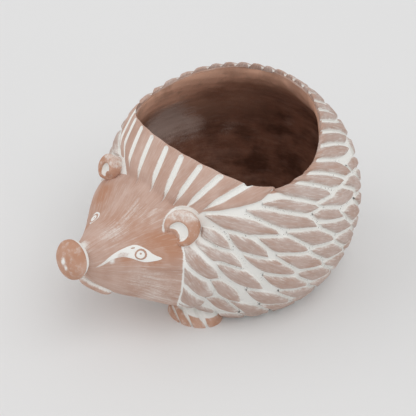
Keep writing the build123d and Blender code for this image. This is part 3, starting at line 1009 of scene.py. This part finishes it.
def build_lip():
    around, steps = 36, 70
    centre = np.array([0, -HEAD_END + LIP_BACK, HEAD_AXIS - LIP_DROP])
    tilt = math.radians(LIP_TILT)
    ahead = np.array([0, -math.cos(tilt), math.sin(tilt)])
    t = np.linspace(-1, 1, steps)
    a = t * math.radians(LIP_HALF_ANGLE)
    path = centre + LIP_HALF_WIDTH * np.sin(a)[:, None] * east
    path = path + LIP_HALF_DEPTH * np.cos(a)[:, None] * ahead
    tangent = unit(np.gradient(path, axis=0))
    up = np.cross(ahead, east)
    up = up if up[2] > 0 else -up
    outward = np.cross(tangent, up)
    outward = outward * np.sign((outward * (path - centre)).sum(1))[:, None]
    radius = LIP_R * np.sqrt(np.clip(1 - np.clip((np.abs(t) - 0.72) / 0.28, 0, 1) ** 2, 0.0004, 1))
    turn = np.linspace(0, 2 * math.pi, around, endpoint=False)
    verts = path[:, None] + radius[:, None, None] * (
        np.cos(turn)[:, None] * outward[:, None] + np.sin(turn)[:, None] * up)
    verts = verts.reshape(-1, 3)
    verts += unit(verts - np.repeat(path, around, 0)) * (0.1 * ripple(verts))[:, None]
    around_turn = np.tile(turn, steps)
    # Painted highlight: white along the upper outer side of the lip roll.
    slip = 0.95 * np.clip(np.cos(around_turn - 0.75), 0, 1) ** 2
    faces = grid_faces(steps, around, True)[:, ::-1]
    piece("lower_lip_visual", "lower_lip", "face_clay", verts, faces, face_look,
          slip=slip, rub=np.full(len(verts), 0.5), flow=verts * 0.2)


def build_ear(s):
    around = 144
    turn = np.linspace(0, 2 * math.pi, around, endpoint=False)
    x_axis, y_axis, facing = ear_axes(s)
    scale = EAR_R[s] / EAR_SIZE
    face_r = 7.03
    quarter = np.linspace(0, math.pi / 2, 12)[1:]
    profile = [(0.03 + 7.0 * q, EAR_TOP, 1.0) for q in np.linspace(0, 1, 40)]
    profile += [
        (face_r + (EAR_SIZE - face_r) * math.sin(q), EAR_TOP - EAR_ROUND * (1 - math.cos(q)), 0.0)
        for q in quarter
    ]
    profile += [
        (EAR_SIZE - 2.2 * q**1.4, EAR_TOP - EAR_ROUND - EAR_ROOT * q, 0.0)
        for q in np.linspace(0, 1, 12)[1:]
    ]
    radii, heights, kinds = np.array(profile).T
    x = (radii[:, None] * np.cos(turn)).ravel()
    y = (radii[:, None] * np.sin(turn)).ravel()
    z = np.repeat(heights, around)
    kind = np.repeat(kinds, around)
    hollow = 1 - ease(4.0, 5.9, np.hypot(x + 1.4, y + 2.0))
    fill = 1 - ease(3.0, 4.8, np.hypot(x + 4.6, y + 4.8))
    cut = hollow * (1 - fill)
    low = 1 - ease(2.0, 8.0, np.hypot(x + 6.6, y + 6.8))
    z = z - kind * (2.4 * cut + 0.8 * fill) - 3.2 * low * ease(-3.0, 0.5, z)
    verts = EAR_AT[s] + scale * (x[:, None] * x_axis + y[:, None] * y_axis) + z[:, None] * facing
    verts = verts + unit(verts - EAR_AT[s]) * (0.15 * ripple(verts))[:, None]
    faces = grid_faces(len(radii), around, True)
    faces = faces if s > 0 else faces[:, ::-1]
    white = kind * ease(0.2, 0.65, cut) * (1 - low)
    crown = 0.45 * ease(1.5, 6.5, y) * (1 - kind * hollow)
    slip = np.maximum.reduce([white, crown, 0.9 * (1 - ease(-8.5, -5.0, z)) * (1 - kind)])
    rub = 0.5 + 0.4 * ease(1, 8, x - y * 0.5)
    name = "left_ear" if s > 0 else "right_ear"
    piece(f"{name}_visual", name, "bare_clay", verts, faces, bare_look,
          slip=slip, rub=rub, flow=verts * 0.2)


def build_paw(s):
    around, up_count = 180, 70
    turn = np.linspace(0, 2 * math.pi, around, endpoint=False)
    rise = np.linspace(0, math.pi / 2, up_count)
    ways = np.stack([
        np.cos(rise)[:, None] * np.cos(turn), np.cos(rise)[:, None] * np.sin(turn),
        np.repeat(np.sin(rise)[:, None], around, 1)], -1).reshape(-1, 3)
    smooth = 1 / np.linalg.norm(ways / np.array(PAW_SIZES), axis=1)
    spot = ways * smooth[:, None]
    slide = spot[:, 0] + 0.5 * (spot[:, 2] - 5) + 0.9 * (spot[:, 1] + 6)
    front = ease(1.0, -2.5, spot[:, 1])
    cut, line = np.zeros(len(ways)), np.zeros(len(ways))
    for at, half in ((-11.0, 0.7), (-4.0, 0.9), (6.4, 1.5)):
        off = np.abs(slide - at)
        wide = half * (0.6 + 0.8 * ease(1.0, 7.0, spot[:, 2]))
        cut = np.maximum(cut, (1 - ease(0.2, 1.9, off / wide)) * front)
        line = np.maximum(line, (1 - ease(0.7, 1.5, off / wide)) * front)
    far = smooth * (1 - 0.13 * cut)
    local = ways * far[:, None]
    side = math.radians(PAW_SIDE)
    turned = np.stack([
        local[:, 0] * math.cos(side) - local[:, 1] * math.sin(side),
        local[:, 0] * math.sin(side) + local[:, 1] * math.cos(side), local[:, 2]], -1)
    mirror = np.array([s, 1, 1])
    verts = PAW_AT[1] * mirror + turned * mirror
    verts[:, 2] = np.maximum(verts[:, 2], 0.0)
    faces = grid_faces(up_count, around, True)
    faces = faces if s > 0 else faces[:, ::-1]
    crest = ease(5.6, 6.8, spot[:, 2] + 0.1 * spot[:, 0])
    # White lines in the toe grooves and along the crest. The even 0.15 of wash over the whole paw is
    # partly a real haze of wash and partly painted light that lifts the paw out of its shadow.
    slip = np.maximum.reduce([line, crest, np.full(len(verts), 0.15)])
    name = "left_front_paw" if s > 0 else "right_front_paw"
    piece(f"{name}_visual", name, "bare_clay", verts, faces, bare_look,
          slip=slip, rub=np.full(len(verts), 0.3), flow=verts * 0.2)


build_wall()
build_floor()
build_head()
build_forehead()
for r in range(len(quill_rows)):
    build_row(r)
build_nose()
build_lip()
for s in (1, -1):
    build_ear(s)
    build_paw(s)
build_eye("left_eye", 13.5, 10.6, eye_outline, 3.2)
build_eye("right_eye", -10.8, 12.0, far_outline, 3.2)

# Camera, worked out for a square picture of 416 pixels
PICTURE, SENSOR = 416.0, 36.0
rise, swing, distance, focus = math.radians(39.5), math.radians(46.8), 0.602, 1103.0
aim = Vector((0.0008, -0.0192, 0.0445))
back = Vector((math.sin(swing) * math.cos(rise), -math.cos(swing) * math.cos(rise), math.sin(rise)))
right = Vector((math.cos(swing), math.sin(swing), 0))
up = back.cross(right)
lens = bpy.data.cameras.new("camera")
lens.sensor_width = SENSOR
lens.lens = focus * SENSOR / PICTURE
lens.clip_start = 0.01
camera = bpy.data.objects.new("camera", lens)
pose = Matrix((right, up, back)).transposed().to_4x4()
pose.translation = aim + back * distance
camera.matrix_world = pose
bpy.context.scene.collection.objects.link(camera)
bpy.context.scene.camera = camera

# Floor and light
ground = bpy.data.meshes.new("floor")
FLOOR_HALF = 3
corners = [(x * FLOOR_HALF, y * FLOOR_HALF, 0) for x, y in ((-1, -1), (1, -1), (1, 1), (-1, 1))]
ground.from_pydata(corners, [], [(0, 1, 2, 3)])
paper = bpy.data.materials.new("paper")
net = Net(paper)
spot = net.add("ShaderNodeTexCoord").outputs["Object"]
tone = net.mix(net.noise(spot, 3.0), linear(226, 226, 226), linear(229, 229, 229))
net.join(tone, net.shader.inputs["Base Color"])
net.shader.inputs["Roughness"].default_value = 0.9
net.shader.inputs["Specular IOR Level"].default_value = 0.1
ground.materials.append(paper)
floor = bpy.data.objects.new("floor", ground)
bpy.context.scene.collection.objects.link(floor)

world = bpy.data.worlds.new("studio")
bpy.context.scene.world = world
world.use_nodes = True
world.node_tree.nodes["Background"].inputs["Color"].default_value = (1, 1, 1, 1)
world.node_tree.nodes["Background"].inputs["Strength"].default_value = 0.64

for name, energy, soft, aim_at in (
    ("key", 0.85, 50, (-0.6, -0.02, -1.1)), ("fill", 0.55, 60, (0.66, 0.72, -0.62)),
):
    lamp = bpy.data.lights.new(name, "SUN")
    lamp.energy = energy
    lamp.angle = math.radians(soft)
    sun = bpy.data.objects.new(name, lamp)
    sun.rotation_euler = Vector(aim_at).to_track_quat("-Z", "Y").to_euler()
    bpy.context.scene.collection.objects.link(sun)

bpy.context.scene.view_settings.view_transform = "Standard"
